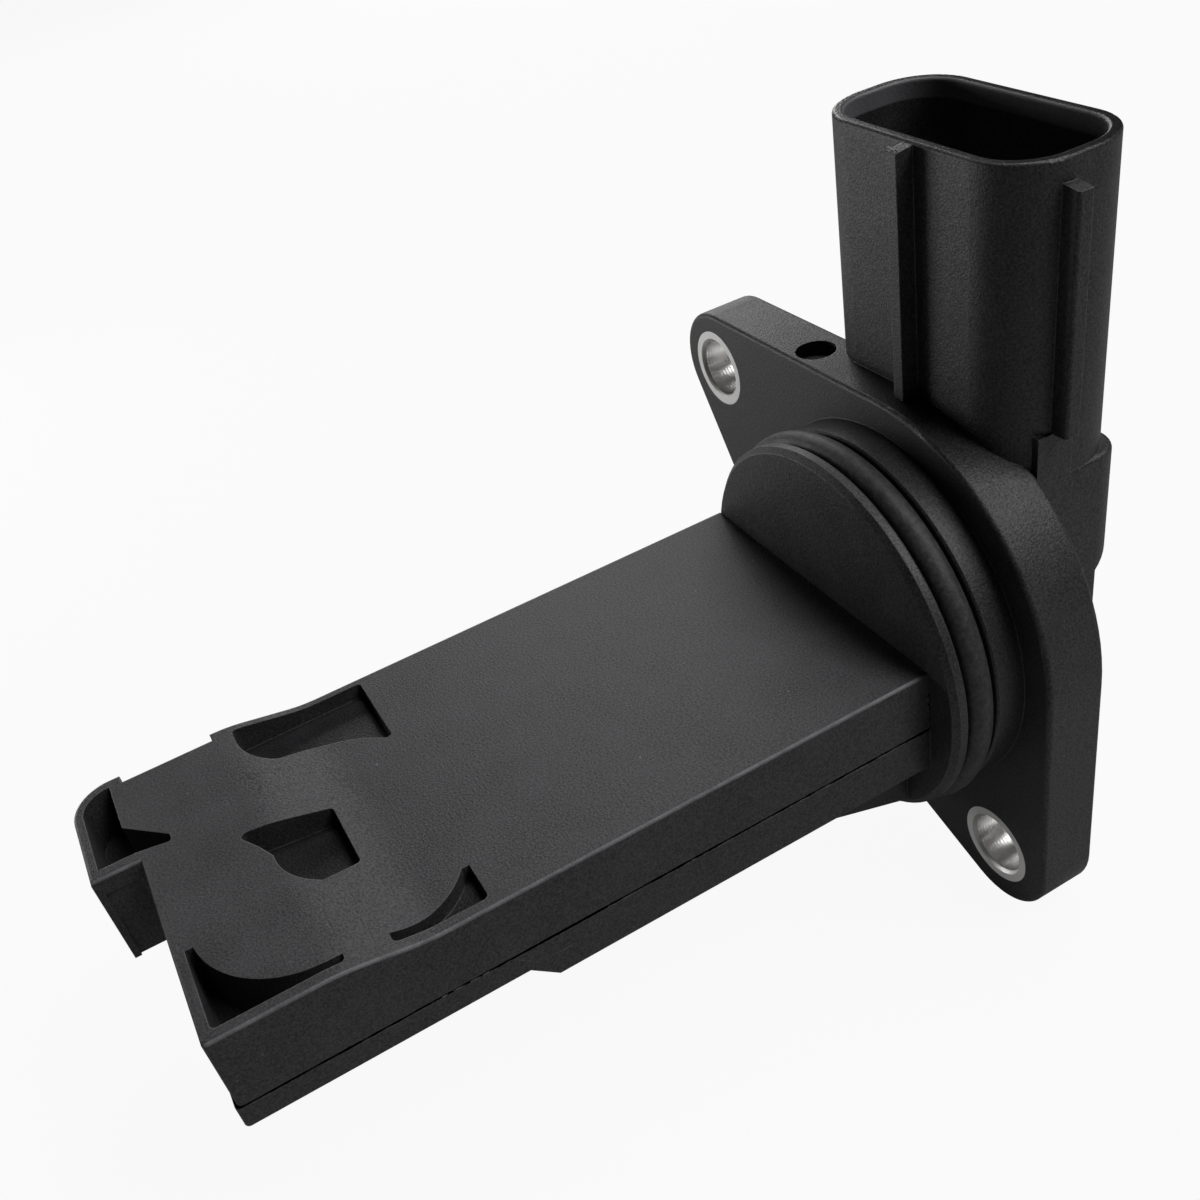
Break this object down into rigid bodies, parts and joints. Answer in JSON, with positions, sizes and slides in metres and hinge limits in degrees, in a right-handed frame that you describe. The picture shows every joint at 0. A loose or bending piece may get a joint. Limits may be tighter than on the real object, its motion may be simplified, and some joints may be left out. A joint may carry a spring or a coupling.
{
  "type": "mass airflow sensor",
  "caption": "Plug-in mass airflow sensor: flat probe with a bypass passage, round sealed spigot, two-ear flange with metal bushes and an upright connector shroud.",
  "frame": {"origin": "on the spigot's axis, in the plane of the flange's mounting face", "axes": "-Y along the probe into the duct, +Z towards the mouth of the connector, +X to the downstream side of the probe"},
  "size_m": [0.0565, 0.0956, 0.0734],
  "materials": {
    "housing_plastic": "black glass-filled plastic, fine matte grain",
    "cover_plastic": "black glass-filled plastic, fine matte grain",
    "adhesive": "cured black silicone adhesive, glossy",
    "seal_rubber": "black elastomer, satin",
    "bush_metal": "turned, bright",
    "carrier_metal": "rolled sheet",
    "board_ceramic": "unglazed alumina",
    "chip_mould": "moulded epoxy",
    "tongue_plastic": "black plastic",
    "silicon": "polished silicon",
    "glass_bead": "glass-sealed bead",
    "silicone_gel": "soft silicone gel",
    "capacitor_ceramic": "sintered ceramic",
    "resistor_film": "film chip",
    "terminal_metal": "tin plated"
  },
  "bodies": {
    "root": {"housing": "housing_plastic", "probe_cover": "cover_plastic", "cover_seal": "adhesive", "o_ring": "seal_rubber", "bush_upper": "bush_metal", "bush_lower": "bush_metal", "carrier_plate": "carrier_metal", "circuit_board": "board_ceramic", "signal_chip": "chip_mould", "chip_carrier": "tongue_plastic", "sensing_chip": "silicon", "thermistor": "glass_bead", "board_gel": "silicone_gel", "capacitor_1": "capacitor_ceramic", "capacitor_2": "capacitor_ceramic", "capacitor_3": "capacitor_ceramic", "resistor_1": "resistor_film", "resistor_2": "resistor_film", "terminal_1": "terminal_metal", "terminal_2": "terminal_metal", "terminal_3": "terminal_metal", "terminal_4": "terminal_metal", "terminal_5": "terminal_metal"}
  },
  "joints": []
}
